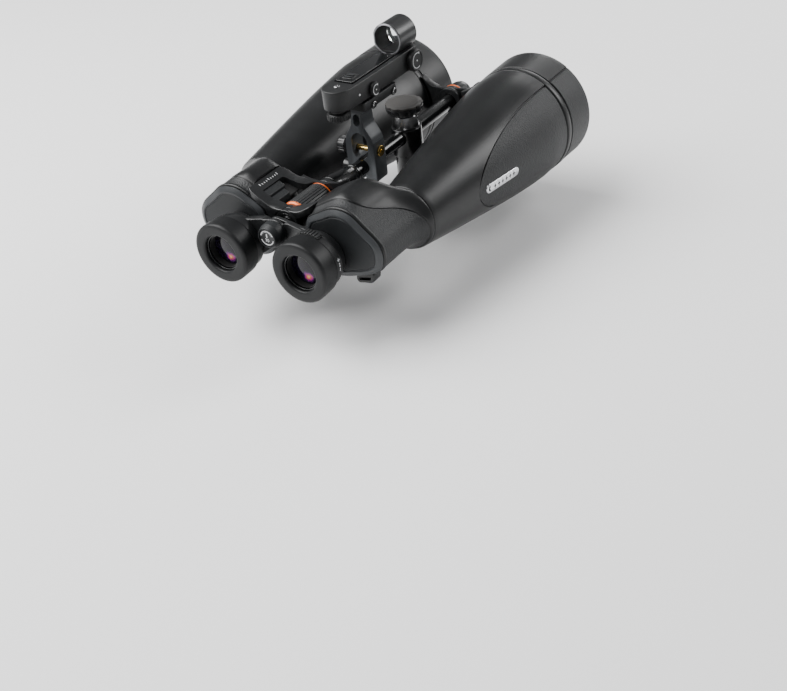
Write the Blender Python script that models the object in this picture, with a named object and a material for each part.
"""Giant 20x80-class Porro binoculars on a sliding tripod post, with a red dot finder on the centre rod.

Frame: metres, +X to the user's right, +Y the viewing direction, +Z up. The origin is the centre of the
underside of the tripod post, where the tripod's 1/4"-20 screw enters. The model is written in millimetres
and MM turns it into metres.
"""
import math

import bmesh
import bpy
from mathutils import Matrix, Vector

MM = 0.001
GAP = 0.3                     # clearance between pieces that touch

# ---- driving dimensions, mm ----
HINGE_Z = 80.0                # centre rod and hinge axis above the foot of the post
EYE_DROP = 13.7               # eyepiece axes below the hinge axis
EYE_Z = HINGE_Z - EYE_DROP
EYE_X = 35.0                  # half of the 70 mm eye spacing at rest
OBJ_X = 64.65                 # objective axis
OBJ_Z = EYE_Z + 3.04
EYE_FACE_Y = -197.4           # rear face of the eyecups
COVER_Y = -163.4              # rear face of the prism housings
HOUSING_FRONT_Y = -105.0      # prism housing meets the barrel
GROOVE_Y = 70.0               # barrel meets the dew shield
RIM_Y = 103.3                 # front rim of the dew shield
ROD_R = 6.0
APERTURE_R = 40.0             # 80 mm objective

HOUSING_WALL = 2.2
BARREL_WALL = 2.2
COVER_THICK = 3.0
BARREL_REAR_R = 24.6
BARREL_FRONT_R = 46.0
SHIELD_REAR_R = 46.6
SHIELD_FRONT_R = 47.1

EYECUP_R = 23.4
EYECUP_LEN = 16.2
OCULAR_R = 14.8               # eyepiece barrel outside the housing
FIXED_RING_R = 21.3            # ring on the left arm, where the right eyepiece has its diopter ring
OCULAR_TAIL_R = 11.0          # its tail inside the housing
FOCUS_REACH = 4.5             # furthest an eyepiece moves forward, by the wheel and the diopter together
DIOPTER_REACH = 1.5           # share of that from the diopter ring

WHEEL_R = 11.6
WHEEL_Y = (-150.6, -117.0)
HINGE_R = 8.0
KNUCKLE_R = 11.0

POST_R = 12.35
KNOB_R = 15.2
KNOB_Z = (97.6, 107.0)

BRACKET_Y = (-64.2, -49.6)
FINDER_TUBE_Y = (-14.2, 9.0)
FINDER_TUBE_Z = EYE_Z + 96.0
FINDER_TUBE_R = 12.7

BIG_SEG = 32
MID_SEG = 24
SMALL_SEG = 18

# ---- prism housing outline seen from behind, x and z from the eyepiece axis height, right side ----
HOUSING_OUTLINE = [(14.0, -4.0), (16.5, 10.0), (19.5, 21.8), (30.0, 28.6), (43.4, 34.4), (57.0, 32.9),
                   (68.6, 24.0), (79.6, 13.9), (82.4, 4.1), (79.8, -5.7), (70.0, -12.5), (57.0, -16.6),
                   (42.0, -20.0), (27.0, -18.5), (17.5, -13.0)]
HOUSING_CENTRE = (48.0, 5.0)
HOUSING_POINTS = 36
# stations of the housing: y, and how far the section has turned into the barrel's circle
HOUSING_STATIONS = [(-160.1, 0.0), (-148.0, 0.0), (-134.0, 0.0), (-124.0, 0.05), (-118.0, 0.22),
                    (-112.0, 0.55), (-107.5, 0.88), (HOUSING_FRONT_Y, 1.0)]

# ---- prisms ----
PRISM_OFFSET = 21.07          # each Porro prism steps the light path aside by this much
PRISM_HALF = 19.5             # half of the long face
PRISM_WIDTH = 18.0
PRISM_TIP = 4.0               # half width of the ground-off roof edge
SHELF_Y = (-142.0, -140.0)

MATERIALS = {
    "armour": ((0.018, 0.018, 0.020), 0.62, 0.0),
    "plastic": ((0.015, 0.015, 0.016), 0.42, 0.0),
    "rubber": ((0.020, 0.020, 0.021), 0.75, 0.0),
    "gloss_black": ((0.008, 0.008, 0.009), 0.16, 0.6),
    "steel": ((0.55, 0.55, 0.56), 0.28, 1.0),
    "brass": ((0.72, 0.50, 0.18), 0.25, 1.0),
    "gunmetal": ((0.09, 0.095, 0.105), 0.45, 0.8),
    "grey_cap": ((0.16, 0.16, 0.155), 0.60, 0.0),
    "glass": ((0.80, 0.86, 0.90), 0.02, 0.0),
    "prism_glass": ((0.70, 0.78, 0.80), 0.05, 0.0),
}

BODIES = {}


def clear_scene():
    for obj in list(bpy.data.objects):
        bpy.data.objects.remove(obj, do_unlink=True)


def material(name):
    found = bpy.data.materials.get(name)
    if found:
        return found
    colour, roughness, metallic = MATERIALS[name]
    made = bpy.data.materials.new(name)
    made.use_nodes = True
    shader = made.node_tree.nodes["Principled BSDF"]
    shader.inputs["Base Color"].default_value = (*colour, 1.0)
    shader.inputs["Roughness"].default_value = roughness
    shader.inputs["Metallic"].default_value = metallic
    return made


def body(name, pivot, parent=None):
    """An empty at the body's joint, in the tree of bodies."""
    empty = bpy.data.objects.new(name + "_pivot", None)
    empty.empty_display_size = 0.01
    bpy.context.collection.objects.link(empty)
    origin = Vector(pivot) * MM
    if parent:
        empty.parent = BODIES[parent]
        origin -= world_place(BODIES[parent])
    empty.location = origin
    BODIES[name] = empty


def world_place(empty):
    place = Vector(empty.location)
    while empty.parent:
        empty = empty.parent
        place += empty.location
    return place


def new_object(name, mesh_source, finish, owner, smooth_angle=35):
    """A mesh object from a bmesh in world millimetres, hung on its body's pivot."""
    bmesh.ops.remove_doubles(mesh_source, verts=mesh_source.verts, dist=1e-4)
    bmesh.ops.recalc_face_normals(mesh_source, faces=mesh_source.faces)
    mesh = bpy.data.meshes.new(name)
    pivot = world_place(BODIES[owner]) if owner else Vector()
    mesh_source.transform(Matrix.Translation(-pivot) @ Matrix.Scale(MM, 4))
    mesh_source.to_mesh(mesh)
    mesh_source.free()
    mesh.shade_smooth()
    mesh.set_sharp_from_angle(angle=math.radians(smooth_angle))
    obj = bpy.data.objects.new(name, mesh)
    bpy.context.collection.objects.link(obj)
    if finish:
        mesh.materials.append(material(finish))
    if owner:
        obj.parent = BODIES[owner]
    return obj


def guide(name, mesh_source, owner):
    """A cutter or a joining block for a Boolean, left out of the build."""
    obj = new_object(name, mesh_source, None, owner)
    obj.hide_render = True
    obj.display_type = "WIRE"
    return obj


def boolean(obj, other, operation="DIFFERENCE"):
    step = obj.modifiers.new(operation.lower(), "BOOLEAN")
    step.operation = operation
    step.object = other
    step.solver = "EXACT"
    return obj


# ---- solids, each returned as a bmesh in world millimetres ----

def place_on_axis(axis, centre, radius, angle, along):
    """A point at a radius and angle around an axis through centre, at a coordinate along that axis."""
    side = radius * math.cos(angle)
    rise = radius * math.sin(angle)
    if axis == "Y":
        return Vector((centre[0] + side, along, centre[1] + rise))
    if axis == "Z":
        return Vector((centre[0] + side, centre[1] + rise, along))
    return Vector((along, centre[0] + side, centre[1] + rise))


def turned(profile, axis="Y", centre=(0.0, HINGE_Z), segments=MID_SEG):
    """Turn a closed profile of (radius, position along the axis); radius 0 gives a point on the axis."""
    bm = bmesh.new()
    rows = []
    for radius, along in profile:
        if radius == 0:
            point = bm.verts.new(place_on_axis(axis, centre, 0.0, 0.0, along))
            rows.append([point] * segments)
        else:
            rows.append([bm.verts.new(place_on_axis(axis, centre, radius, 2 * math.pi * k / segments, along))
                         for k in range(segments)])
    solid = profile[0][0] == 0 and profile[-1][0] == 0
    pairs = list(zip(rows, rows[1:])) if solid else list(zip(rows, rows[1:] + rows[:1]))
    for low, high in pairs:
        for k in range(segments):
            after = (k + 1) % segments
            corners = []
            for vert in (low[k], low[after], high[after], high[k]):
                if vert not in corners:
                    corners.append(vert)
            if len(corners) > 2:
                bm.faces.new(corners)
    return bm


def rod(radius, start, end, axis="Y", centre=(0.0, HINGE_Z), segments=SMALL_SEG):
    return turned([(0, start), (radius, start), (radius, end), (0, end)], axis, centre, segments)


def sleeve(inner, outer, start, end, axis="Y", centre=(0.0, HINGE_Z), segments=MID_SEG):
    return turned([(inner, start), (outer, start), (outer, end), (inner, end)], axis, centre, segments)


def lofted(rings):
    """A closed tube of walls through rings of equal length, the last ring joined back to the first."""
    bm = bmesh.new()
    rows = [[bm.verts.new(point) for point in ring] for ring in rings]
    count = len(rows[0])
    for low, high in zip(rows, rows[1:] + rows[:1]):
        for k in range(count):
            after = (k + 1) % count
            bm.faces.new((low[k], low[after], high[after], high[k]))
    return bm


def extruded(outline, start, end, axis="Y"):
    """An outline of (a, b) points pushed along an axis: (x, z) along Y, (x, y) along Z, (y, z) along X."""
    def at(point, along):
        if axis == "Y":
            return Vector((point[0], along, point[1]))
        if axis == "Z":
            return Vector((point[0], point[1], along))
        return Vector((along, point[0], point[1]))

    bm = bmesh.new()
    near = [bm.verts.new(at(point, start)) for point in outline]
    far = [bm.verts.new(at(point, end)) for point in outline]
    bm.faces.new(near)
    bm.faces.new(far)
    for k in range(len(outline)):
        after = (k + 1) % len(outline)
        bm.faces.new((near[k], near[after], far[after], far[k]))
    return bm


def box(low, high):
    corners = [(low[0], low[2]), (high[0], low[2]), (high[0], high[2]), (low[0], high[2])]
    return extruded(corners, low[1], high[1])


def joined(*solids):
    """Several bmeshes in one, for a guide whose separate bodies all cut or all join."""
    whole = bmesh.new()
    for solid in solids:
        mesh = bpy.data.meshes.new("loose")
        bmesh.ops.recalc_face_normals(solid, faces=solid.faces)
        solid.to_mesh(mesh)
        solid.free()
        whole.from_mesh(mesh)
        bpy.data.meshes.remove(mesh)
    return whole


# ---- outlines ----

def arc(centre, radius, start_deg, end_deg, steps):
    return [(centre[0] + radius * math.cos(math.radians(start_deg + (end_deg - start_deg) * k / steps)),
             centre[1] + radius * math.sin(math.radians(start_deg + (end_deg - start_deg) * k / steps)))
            for k in range(steps + 1)]


def stadium(centre, radius, half_length, steps=8):
    """A slot outline standing upright: two round ends and straight sides."""
    x, z = centre
    return (arc((x, z + half_length), radius, 0, 180, steps)
            + arc((x, z - half_length), radius, 180, 360, steps))


def belt(centre_a, radius_a, centre_b, radius_b, steps=10):
    """The outline of a belt stretched round two circles, the first smaller than the second."""
    dx, dz = centre_b[0] - centre_a[0], centre_b[1] - centre_a[1]
    heading = math.degrees(math.atan2(dz, dx))
    lean = math.degrees(math.acos((radius_a - radius_b) / math.hypot(dx, dz)))
    return (arc(centre_a, radius_a, heading + lean, heading + 360 - lean, steps)
            + arc(centre_b, radius_b, heading - lean, heading + lean, steps))


def rounded_box(low, high, radius, steps=3):
    (x0, z0), (x1, z1) = low, high
    return (arc((x1 - radius, z1 - radius), radius, 0, 90, steps)
            + arc((x0 + radius, z1 - radius), radius, 90, 180, steps)
            + arc((x0 + radius, z0 + radius), radius, 180, 270, steps)
            + arc((x1 - radius, z0 + radius), radius, 270, 360, steps))


def smooth_closed(points, steps=12):
    """A closed Catmull-Rom curve through the points."""
    count = len(points)
    curve = []
    for k in range(count):
        a, b, c, d = (Vector(points[(k + j) % count]) for j in (-1, 0, 1, 2))
        for step in range(steps):
            t = step / steps
            curve.append(0.5 * (2 * b + (c - a) * t + (2 * a - 5 * b + 4 * c - d) * t * t
                                + (3 * b - a - 3 * c + d) * t ** 3))
    return curve


def radial_outline(points, centre, count):
    """The smooth curve through points, read at equal angles around a centre, as radii."""
    curve = smooth_closed(points)
    offsets = [(p[0] - centre[0], p[1] - centre[1]) for p in curve]
    polar = sorted((math.atan2(z, x), math.hypot(x, z)) for x, z in offsets)
    before = (polar[-1][0] - 2 * math.pi, polar[-1][1])
    after = (polar[0][0] + 2 * math.pi, polar[0][1])
    polar = [before] + polar + [after]
    radii = []
    for k in range(count):
        angle = -math.pi + 2 * math.pi * k / count
        for (a0, r0), (a1, r1) in zip(polar, polar[1:]):
            if a0 <= angle <= a1:
                radii.append(r0 + (r1 - r0) * (angle - a0) / max(a1 - a0, 1e-9))
                break
    return radii


HOUSING_RADII = radial_outline(HOUSING_OUTLINE, HOUSING_CENTRE, HOUSING_POINTS)


def housing_ring(side, y, turn, inset=0.0):
    """The housing's section at y: its own outline where turn is 0, the barrel's circle where turn is 1."""
    ring = []
    for k, radius in enumerate(HOUSING_RADII):
        angle = -math.pi + 2 * math.pi * k / HOUSING_POINTS
        away = Vector((math.cos(angle), math.sin(angle)))
        own = Vector(HOUSING_CENTRE) + away * (radius - inset)
        circle = Vector((OBJ_X, OBJ_Z - EYE_Z)) + away * (BARREL_REAR_R - inset)
        point = own.lerp(circle, turn)
        ring.append(Vector((side * point[0], y, EYE_Z + point[1])))
    return ring


def mirrored(side, points):
    return [(side * point[0], point[1]) for point in points]


# ---- the tripod post ----

def build_post():
    body("mount_post", (0, 0, 0))
    foot_r = 14.0
    profile = [(0, 0), (foot_r, 0), (foot_r, 5.0), (10.9, 9.0), (10.9, 62.9), (POST_R, 63.4), (POST_R, 86.5),
               (0, 86.5)]
    post = new_object("tripod_post", turned(profile, "Z", (0, 0), MID_SEG), "gloss_black", "mount_post")
    boolean(post, guide("rod_way", rod(ROD_R + GAP, -40, 40), "mount_post"))
    boolean(post, guide("socket_way", rod(4.8, -1.0, 12.3, "Z", (0, 0)), "mount_post"))
    boolean(post, guide("screw_way", rod(4.1, 83.0, 90.0, "Z", (0, 0)), "mount_post"))
    new_object("socket_insert", sleeve(3.2, 4.5, 0.0, 12.0, "Z", (0, 0), SMALL_SEG), "brass", "mount_post")
    collar = [(3.5, 86.8), (10.85, 86.8), (10.4, 90.0), (8.9, 96.4), (3.5, 96.4)]
    new_object("post_collar", turned(collar, "Z", (0, 0)), "steel", "mount_post")


def build_post_knob():
    body("post_knob", (0, 0, 0), "mount_post")
    new_object("knob_screw", rod(3.0, 86.4, 97.3, "Z", (0, 0)), "steel", "post_knob")
    lobes = 12
    per_lobe = 5
    outline = []
    for k in range(lobes * per_lobe):
        angle = 2 * math.pi * k / (lobes * per_lobe)
        radius = KNOB_R - 0.45 + 0.45 * math.cos(lobes * angle)
        outline.append((radius * math.cos(angle), radius * math.sin(angle)))
    low, high = KNOB_Z
    levels = [(low, 0.80), (low + 3.0, 0.97), (high - 1.6, 1.0), (high, 0.93)]
    bm = bmesh.new()
    rows = [[bm.verts.new((x * size, y * size, z)) for x, y in outline] for z, size in levels]
    bm.faces.new(rows[0])
    bm.faces.new(rows[-1])
    for below, above in zip(rows, rows[1:]):
        for k in range(len(outline)):
            after = (k + 1) % len(outline)
            bm.faces.new((below[k], below[after], above[after], above[k]))
    new_object("post_knob_cap", bm, "grey_cap", "post_knob")


# ---- the centre rod and hinge ----

def build_core():
    body("core", (0, 0, HINGE_Z), "mount_post")
    new_object("center_rod", rod(ROD_R, -84.7, 73.8, segments=24), "gloss_black", "core")
    barrel = [(0, -116.0), (5.0, -116.0), (5.0, -161.0), (HINGE_R, -161.0), (HINGE_R, -106.9), (10.6, -106.6),
              (10.2, -101.0), (8.8, -94.0), (7.2, -88.5), (7.6, -87.5), (7.6, -85.0), (0, -85.0)]
    new_object("hinge_barrel", turned(barrel), "gloss_black", "core")
    cap = [(0, 74.1), (10.6, 74.1), (10.9, 75.3), (10.4, 76.0), (10.0, 84.0), (8.6, 88.5), (5.5, 90.4),
           (0, 90.4)]
    new_object("front_hub_cap", turned(cap), "plastic", "core")


# ---- one half of the binoculars ----

def build_half(side, word):
    half = word + "_half"
    body(half, (0, 0, HINGE_Z), "core")
    axis = (side * OBJ_X, OBJ_Z)
    build_housing(side, word, half)
    build_barrel(word, half, axis)
    build_prisms(side, word, half)
    build_hinge_lug(side, word, half)
    build_front_arm(side, word, half)


def build_housing(side, word, half):
    outer = [housing_ring(side, y, turn) for y, turn in HOUSING_STATIONS]
    inner = [housing_ring(side, y, turn, HOUSING_WALL) for y, turn in reversed(HOUSING_STATIONS)]
    new_object(word + "_prism_housing", lofted(outer + inner), "armour", half, 50)

    bevel = 1.8
    front = COVER_Y + COVER_THICK
    rings = [housing_ring(side, COVER_Y, 0.0, bevel), housing_ring(side, COVER_Y + bevel, 0.0),
             housing_ring(side, front, 0.0)]
    bm = bmesh.new()
    rows = [[bm.verts.new(point) for point in ring] for ring in rings]
    bm.faces.new(rows[0])
    bm.faces.new(rows[-1])
    for low, high in zip(rows, rows[1:]):
        for k in range(HOUSING_POINTS):
            after = (k + 1) % HOUSING_POINTS
            bm.faces.new((low[k], low[after], high[after], high[k]))
    cover = new_object(word + "_rear_cover", bm, "armour", half)
    centre = (side * EYE_X, EYE_Z)
    hole = rod(OCULAR_TAIL_R + GAP + 0.2, COVER_Y - 5, front + 5, centre=centre, segments=MID_SEG)
    boolean(cover, guide(word + "_ocular_way", hole, half))

    y0, y1 = -158.0, -149.0
    loop = [(54.0, -18.0), (68.5, -14.6), (69.5, -16.0), (68.6, -20.2), (66.8, -21.6), (56.2, -23.6),
            (54.0, -22.2)]
    slot = [(56.0, -19.5), (66.8, -17.0), (66.4, -19.4), (56.4, -21.4)]
    loop = [(x, EYE_Z + z) for x, z in loop]
    slot = [(x, EYE_Z + z) for x, z in slot]
    lug = new_object(word + "_strap_lug", extruded(mirrored(side, loop), y0, y1), "armour", half)
    boolean(lug, guide(word + "_strap_way", extruded(mirrored(side, slot), y0 - 5, y1 + 5), half))


def barrel_radius(y):
    """Outer radius of the tapering barrel: a straight cone that eases into the cylinder at the front."""
    cone_end = 48.0
    if y >= cone_end:
        return BARREL_FRONT_R
    reach = (y - HOUSING_FRONT_Y) / (cone_end - HOUSING_FRONT_Y)
    ease = 1.0 - (1.0 - reach) ** 1.18
    return BARREL_REAR_R + (BARREL_FRONT_R - BARREL_REAR_R) * ease


def build_barrel(word, half, axis):
    start = HOUSING_FRONT_Y + GAP
    end = GROOVE_Y - 0.3
    stations = [start, -72.0, -38.0, 0.0, 32.0, 48.0, end - 1.0]
    outer = [(barrel_radius(y), y) for y in stations] + [(BARREL_FRONT_R - 0.8, end)]
    inner = [(BARREL_FRONT_R - BARREL_WALL, end), (BARREL_FRONT_R - BARREL_WALL, 50.0),
             (barrel_radius(-38.0) - BARREL_WALL, -38.0), (BARREL_REAR_R - BARREL_WALL, start)]
    new_object(word + "_barrel", turned(outer + inner, "Y", axis, BIG_SEG), "armour", half)

    shield = [(43.6, GROOVE_Y + 0.3), (SHIELD_REAR_R - 0.6, GROOVE_Y + 0.3), (SHIELD_REAR_R, GROOVE_Y + 1.2),
              (SHIELD_FRONT_R, RIM_Y - 1.2), (SHIELD_FRONT_R - 1.0, RIM_Y), (45.2, RIM_Y),
              (44.4, RIM_Y - 2.0)]
    new_object(word + "_dew_shield", turned(shield, "Y", axis, BIG_SEG), "armour", half)

    lens_r = APERTURE_R + 0.6
    lens = [(0, 61.0), (20.0, 61.4), (lens_r, 64.0), (lens_r, 70.0), (20.0, 73.2), (0, 74.4)]
    new_object(word + "_objective_lens", turned(lens, "Y", axis, BIG_SEG), "glass", half)
    cell = [(lens_r + GAP, 60.0), (43.2, 60.0), (43.2, 79.0), (39.4, 77.4), (39.4, 75.2),
            (lens_r + GAP, 74.6)]
    new_object(word + "_lens_cell", turned(cell, "Y", axis, BIG_SEG), "plastic", half)


def build_prisms(side, word, half):
    shelf_inset = HOUSING_WALL + 1.2
    rings = [housing_ring(side, y, 0.0, shelf_inset) for y in SHELF_Y]
    bm = bmesh.new()
    rows = [[bm.verts.new(point) for point in ring] for ring in rings]
    bm.faces.new(rows[0])
    bm.faces.new(rows[1])
    for k in range(HOUSING_POINTS):
        after = (k + 1) % HOUSING_POINTS
        bm.faces.new((rows[0][k], rows[0][after], rows[1][after], rows[1][k]))
    shelf = new_object(word + "_prism_shelf", bm, "steel", half)

    entry = Vector((OBJ_X, OBJ_Z - EYE_Z))
    leave = Vector((EYE_X, 0.0))
    half_way = (entry + leave) / 2
    across = (leave - entry).normalized()
    upward = Vector((across[1], -across[0]))
    rise = math.sqrt(PRISM_OFFSET ** 2 - ((leave - entry).length / 2) ** 2)
    crossing = half_way + upward * rise
    ways = [rod(8.2, SHELF_Y[0] - 5, SHELF_Y[1] + 5, centre=(side * p[0], EYE_Z + p[1]), segments=16)
            for p in (entry, crossing, leave)]
    boolean(shelf, guide(word + "_light_ways", joined(*ways), half))

    add_prism(side, word + "_rear_prism", half, entry, crossing, SHELF_Y[0] - GAP, -1)
    add_prism(side, word + "_front_prism", half, crossing, leave, SHELF_Y[1] + GAP, 1)


def add_prism(side, name, half, start, end, face_y, direction):
    """A right-angled prism whose long face lies at face_y between two light paths, roof edge ground off."""
    middle = (start + end) / 2
    along = (end - start).normalized()
    across = Vector((-along[1], along[0]))
    depth = PRISM_HALF - PRISM_TIP
    section = [(-PRISM_HALF, 0), (PRISM_HALF, 0), (PRISM_TIP, depth), (-PRISM_TIP, depth)]
    bm = bmesh.new()
    rows = []
    for edge in (-PRISM_WIDTH / 2, PRISM_WIDTH / 2):
        row = []
        for s, d in section:
            point = middle + along * s + across * edge
            row.append(bm.verts.new((side * point[0], face_y + direction * d, EYE_Z + point[1])))
        rows.append(row)
    bm.faces.new(rows[0])
    bm.faces.new(rows[1])
    for k in range(len(section)):
        after = (k + 1) % len(section)
        bm.faces.new((rows[0][k], rows[0][after], rows[1][after], rows[1][k]))
    new_object(name, bm, "prism_glass", half)


def build_hinge_lug(side, word, half):
    """Two knuckles round the hinge barrel, on a plate that climbs the housing's slope beside the wheel."""
    if side < 0:
        rear, front = (-161.0, -156.2), (-116.6, -112.2)
    else:
        rear, front = (-155.9, -150.9), (-111.9, -107.3)
    slope_low = (13.2, 24.9)
    slope_high = (43.0, 37.9) if side < 0 else (24.0, 28.4)
    plate_thick = 2.6
    top = [(10.0, 23.6), (slope_low[0], slope_low[1]), slope_high]
    under = [(x, z - plate_thick) for x, z in reversed(top)]
    raised = [(x, z + EYE_Z + 0.6) for x, z in top + under]
    plate = extruded(mirrored(side, raised), -151.0, -112.0)
    lug = new_object(word + "_hinge_lug", plate, "armour", half)
    arm = [(3.0, HINGE_Z - 8.6), (14.5, HINGE_Z - 4.0), (16.0, EYE_Z + 10.0), (18.6, EYE_Z + 22.6),
           (20.0, EYE_Z + 26.8), (11.0, EYE_Z + 24.0), (0.0, HINGE_Z + KNUCKLE_R - 0.6), (0.0, HINGE_Z - 8.0)]
    for tag, (y0, y1) in (("rear", rear), ("front", front)):
        reach = (y0, max(y1, -150.5)) if tag == "rear" else (min(y0, -113.0), y1)
        web = extruded(mirrored(side, [(x, z) for x, z in arm if x > 10.0] + [(12.0, HINGE_Z - 6.0)]), *reach)
        spoke = extruded(mirrored(side, arm), y0, y1)
        ring = rod(KNUCKLE_R, y0, y1, segments=MID_SEG)
        boolean(lug, guide(f"{word}_{tag}_web", web, half), "UNION")
        boolean(lug, guide(f"{word}_{tag}_spoke", spoke, half), "UNION")
        boolean(lug, guide(f"{word}_{tag}_knuckle", ring, half), "UNION")
    boolean(lug, guide(word + "_hinge_way", rod(HINGE_R + GAP, -170, -100, segments=MID_SEG), half))
    if side < 0:
        window = box((-33.0, -146.0, EYE_Z + 15), (-17.5, -120.0, EYE_Z + 45))
        boolean(lug, guide("left_window_way", window, half))


def build_front_arm(side, word, half):
    """The front bridge arm: a knuckle on the rod and a curved plate that fits the barrel."""
    knuckle = (66.4, 69.9) if side < 0 else (70.2, 73.8)
    seat_r = SHIELD_FRONT_R + GAP
    plate = [(12.0, EYE_Z + 6.0), (12.0, EYE_Z + 24.2), (18.0, EYE_Z + 25.6), (24.0, EYE_Z + 29.0)]
    plate += arc((OBJ_X, OBJ_Z), seat_r, 139.2, 193.5, 12)
    arm = new_object(word + "_front_arm", extruded(mirrored(side, plate), 66.6, 73.6), "armour", half)
    web = [(0.0, HINGE_Z + 10.2), (14.0, EYE_Z + 24.0), (14.0, EYE_Z + 6.0), (0.0, HINGE_Z - 10.2)]
    boolean(arm, guide(word + "_arm_knuckle", rod(10.9, *knuckle), half), "UNION")
    web = extruded(mirrored(side, web), knuckle[0] + 0.4, knuckle[1] - 0.4)
    boolean(arm, guide(word + "_arm_web", web, half), "UNION")
    boolean(arm, guide(word + "_rod_way", rod(ROD_R + GAP, 60, 90), half))


# ---- focusing ----

def build_focus_wheel():
    body("focus_wheel", (0, 0, HINGE_Z), "core")
    low, high = WHEEL_Y
    profile = [(HINGE_R + GAP, low), (10.2, low), (WHEEL_R, low + 1.4), (WHEEL_R, high - 1.4), (10.2, high),
               (HINGE_R + GAP, high)]
    new_object("focus_wheel_grip", turned(profile), "rubber", "focus_wheel")


def build_bridge():
    body("eyepiece_bridge", (0, 0, HINGE_Z), "core")
    new_object("focus_shaft", rod(4.6, -174.2, -122.0), "steel", "eyepiece_bridge")
    cap = [(0, -183.4), (6.3, -183.4), (6.5, -184.4), (7.2, -184.4), (9.3, -180.5), (9.5, -174.5),
           (0, -174.5)]
    new_object("hinge_dial_cap", turned(cap), "plastic", "eyepiece_bridge")


def build_eyepiece(side, word):
    """The bridge arm and, riding on it, the eyepiece with its twist-up cup."""
    arm_body = word + "_eyepiece"
    half = word + "_half"
    body(arm_body, (side * EYE_X, 0, EYE_Z), half)
    centre = (side * EYE_X, EYE_Z)
    start, end = (-174.3, -167.3) if side < 0 else (-172.9, -167.3)
    hub = (start + 0.2, -171.0) if side < 0 else (-170.7, end - 0.2)
    plate = rod(19.0, start, end, centre=centre, segments=MID_SEG)
    arm = new_object(word + "_bridge_arm", plate, "plastic", arm_body)
    reach = belt((0.0, HINGE_Z), 9.4, (side * EYE_X, EYE_Z), 17.0)
    boolean(arm, guide(word + "_bridge_reach", extruded(reach, *hub), arm_body), "UNION")
    boolean(arm, guide(word + "_shaft_way", rod(4.9, -180, -160, segments=24), arm_body))
    if side < 0:
        ring = rod(FIXED_RING_R, -180.9, start + 0.6, centre=centre, segments=MID_SEG)
        boolean(arm, guide(word + "_fixed_ring", ring, arm_body), "UNION")
    tube_way = rod(OCULAR_R + GAP, -185, -160, centre=centre, segments=MID_SEG)
    boolean(arm, guide(word + "_tube_way", tube_way, arm_body))

    carrier = arm_body
    if side > 0:
        carrier = "right_ocular"
        body(carrier, (EYE_X, 0, EYE_Z), arm_body)
        build_diopter_ring(centre, start - GAP - DIOPTER_REACH)
    shoulder = COVER_Y - GAP - FOCUS_REACH
    tube = [(12.4, -193.0), (OCULAR_R, -193.0), (OCULAR_R, shoulder), (OCULAR_TAIL_R, shoulder + 0.2),
            (OCULAR_TAIL_R, -152.0), (9.0, -152.0), (9.0, -184.0), (12.4, -184.0)]
    new_object(word + "_eyepiece_tube", turned(tube, "Y", centre), "plastic", carrier)
    lens = [(0, -190.4), (7.0, -189.9), (12.1, -188.6), (12.1, -184.3), (0, -184.3)]
    new_object(word + "_eye_lens", turned(lens, "Y", centre, 24), "glass", carrier)

    sleeve_body = word + "_cup_sleeve"
    body(sleeve_body, (side * EYE_X, 0, EYE_Z), carrier)
    new_object(word + "_twist_sleeve", sleeve(OCULAR_R + GAP, 17.0, -194.5, -182.0, centre=centre), "plastic",
               sleeve_body)
    cup_body = word + "_eyecup"
    body(cup_body, (side * EYE_X, 0, EYE_Z), sleeve_body)
    rear = EYE_FACE_Y
    cup = [(14.0, rear + 0.4), (15.0, rear), (22.2, rear), (EYECUP_R, rear + 1.6),
           (EYECUP_R - 0.5, rear + EYECUP_LEN),
           (17.3, rear + EYECUP_LEN), (17.3, rear + 2.6), (14.0, rear + 2.6)]
    new_object(word + "_eyecup_rubber", turned(cup, "Y", centre, 32), "rubber", cup_body)


def build_diopter_ring(centre, end):
    """The ring turns on the right eyepiece and travels with it."""
    body("diopter_ring", (EYE_X, 0, EYE_Z), "right_ocular")
    start = -180.9
    ring = new_object("diopter_grip", sleeve(OCULAR_R + GAP, 21.3, start, end, centre=centre), "rubber",
                      "diopter_ring")
    tab = [(centre[0] + x, centre[1] + z) for x, z in
           arc((0, 0), 23.6, 70, 118, 6) + arc((0, 0), 19.0, 118, 70, 6)]
    boolean(ring, guide("diopter_tab", extruded(tab, start, end), "diopter_ring"), "UNION")


# ---- finder bracket ----

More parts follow.
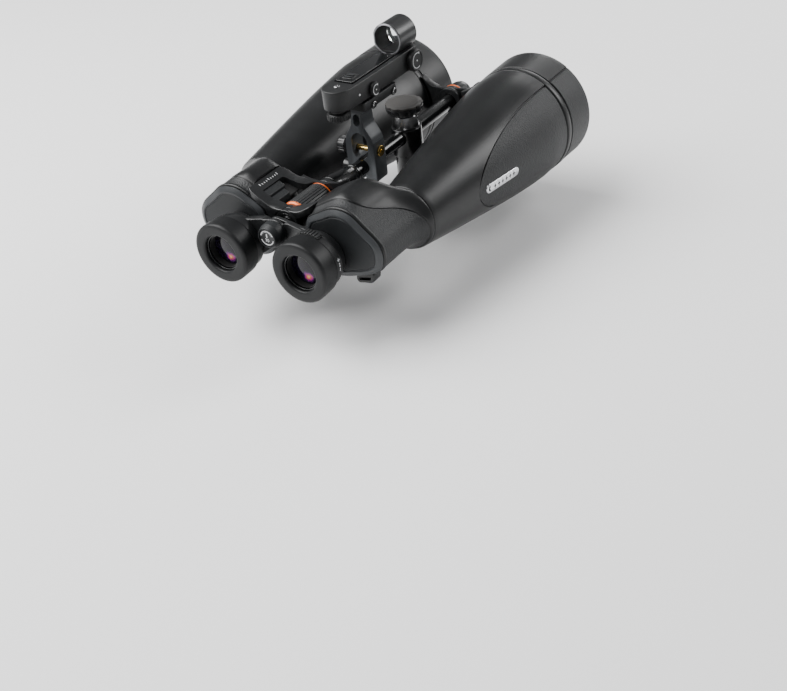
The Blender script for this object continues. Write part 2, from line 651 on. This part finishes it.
def build_bracket():
    body("finder_clamp", (0, 0, HINGE_Z), "core")
    rear, front = BRACKET_Y
    half_outline = [(5.0, 58.2), (5.3, 50.5), (6.2, 47.2), (9.2, 41.5), (12.2, 36.5), (13.2, 30.0),
                    (13.2, 4.0), (11.5, 1.6), (2.0, 1.6)]
    outline = [(x, EYE_Z + z) for x, z in half_outline]
    outline += [(-x, z) for x, z in reversed(outline)]
    bracket = new_object("finder_bracket", extruded(outline, rear, front), "gunmetal", "finder_clamp")
    slot = extruded(stadium((0, EYE_Z + 51.6), 3.0, 1.9), rear - 5, front + 5)
    boolean(bracket, guide("bracket_slot_way", slot, "finder_clamp"))
    oval = extruded(stadium((0, EYE_Z + 30.6), 7.2, 3.6), rear - 5, front + 5)
    boolean(bracket, guide("bracket_oval_way", oval, "finder_clamp"))
    slit = box((-2.4, rear - 5, EYE_Z - 5), (2.4, front + 5, EYE_Z + 26))
    boolean(bracket, guide("bracket_slit_way", slit, "finder_clamp"))
    rod_way = rod(ROD_R + GAP, rear - 5, front + 5, segments=24)
    boolean(bracket, guide("bracket_rod_way", rod_way, "finder_clamp"))
    middle = (rear + front) / 2
    pin_centre = (middle, EYE_Z + 26.0)
    pin_way = rod(2.5, -30, 30, "X", pin_centre, 16)
    boolean(bracket, guide("bracket_pin_way", pin_way, "finder_clamp"))
    pin = [(0, 15.0), (4.2, 15.0), (4.2, 13.6), (2.1, 13.4), (2.1, -17.0), (0, -17.0)]
    new_object("bracket_cross_pin", turned(pin, "X", pin_centre, 18), "brass", "finder_clamp")
    plate = [(-8.6, EYE_Z + 61.0), (8.6, EYE_Z + 61.0), (7.2, EYE_Z + 58.5), (-7.2, EYE_Z + 58.5)]
    new_object("finder_rail", extruded(plate, -66.0, -28.0), "gunmetal", "finder_clamp")

    body("clamp_nut", (0, middle, pin_centre[1]), "finder_clamp")
    nut = [(0, -17.4), (2.4, -17.4), (2.4, -13.6), (4.4, -13.6), (4.6, -15.2), (6.4, -16.4), (6.4, -22.0),
           (5.2, -23.2), (0, -23.2)]
    new_object("clamp_nut_knob", turned(nut, "X", pin_centre, 24), "plastic", "clamp_nut")

    low_centre = (middle, EYE_Z + 9.0)
    body("clamp_lever", (0, middle, low_centre[1]), "finder_clamp")
    lever = rod(4.6, -21.5, -13.6, "X", low_centre, 20)
    new_object("clamp_lever_knob", lever, "plastic", "clamp_lever")


# ---- red dot finder ----

def build_finder():
    body("finder_swivel", (0, -45.0, EYE_Z + 61.0), "finder_clamp")
    base = extruded(rounded_box((-12.1, -68.0), (12.1, -24.3), 1.5, 2), EYE_Z + 61.3, EYE_Z + 68.2, "Z")
    new_object("finder_base", base, "plastic", "finder_swivel")

    for place, y in (("rear", -56.4), ("front", -29.4)):
        head = [(0, 12.4), (2.5, 12.4), (2.5, 13.2), (1.9, 13.8), (0, 13.8)]
        new_object("base_screw_" + place, turned(head, "X", (y, EYE_Z + 63.4), 16), "steel", "finder_swivel")

    body("finder_body", (0, -30.0, EYE_Z + 69.2), "finder_swivel")
    low, high = EYE_Z + 70.0, EYE_Z + 85.6
    plan = arc((0, -82.0), 11.4, 180, 360, 10)
    plan += [(12.1, -70.0), (12.1, 6.5), (9.5, 9.0), (-9.5, 9.0), (-12.1, 6.5), (-12.1, -70.0)]
    housing = new_object("finder_housing", extruded(plan, low, high, "Z"), "plastic", "finder_body")
    tube_centre = (0, FINDER_TUBE_Z)
    relief = rod(FINDER_TUBE_R + 0.4, FINDER_TUBE_Y[0] - 0.4, 20.0, centre=tube_centre, segments=36)
    boolean(housing, guide("tube_seat_way", relief, "finder_body"))
    tube = sleeve(11.0, FINDER_TUBE_R, *FINDER_TUBE_Y, centre=tube_centre, segments=MID_SEG)
    new_object("finder_tube", tube, "plastic", "finder_body")
    lens = rod(10.7, 2.6, 4.6, centre=tube_centre, segments=24)
    new_object("finder_window", lens, "glass", "finder_body")

    body("altitude_knob", (0, 0.0, EYE_Z + 76.8), "finder_body")
    face = [(0, 12.4), (8.5, 12.4), (8.5, 16.4), (7.8, 17.2), (0, 17.2)]
    new_object("altitude_dial", turned(face, "X", (-0.5, EYE_Z + 76.8), 28), "plastic", "altitude_knob")
    body("power_knob", (0, -55.1, EYE_Z + 74.9), "finder_body")
    face = [(0, 12.4), (5.5, 12.4), (5.5, 15.0), (5.0, 15.6), (0, 15.6)]
    new_object("power_dial", turned(face, "X", (-55.1, EYE_Z + 74.9), 24), "plastic", "power_knob")
    body("azimuth_knob", (0, -84.1, EYE_Z + 64.0), "finder_body")
    wheel = [(0, EYE_Z + 61.8), (8.2, EYE_Z + 61.8), (8.8, EYE_Z + 62.6), (8.8, EYE_Z + 66.4),
             (7.4, EYE_Z + 67.2), (5.4, EYE_Z + 67.4), (5.4, EYE_Z + 69.7), (0, EYE_Z + 69.7)]
    new_object("azimuth_wheel", turned(wheel, "Z", (0, -84.1), 24), "plastic", "azimuth_knob")


clear_scene()
build_post()
build_post_knob()
build_core()
for sign, side_word in ((-1, "left"), (1, "right")):
    build_half(sign, side_word)
build_focus_wheel()
build_bridge()
for sign, side_word in ((-1, "left"), (1, "right")):
    build_eyepiece(sign, side_word)
build_bracket()
build_finder()
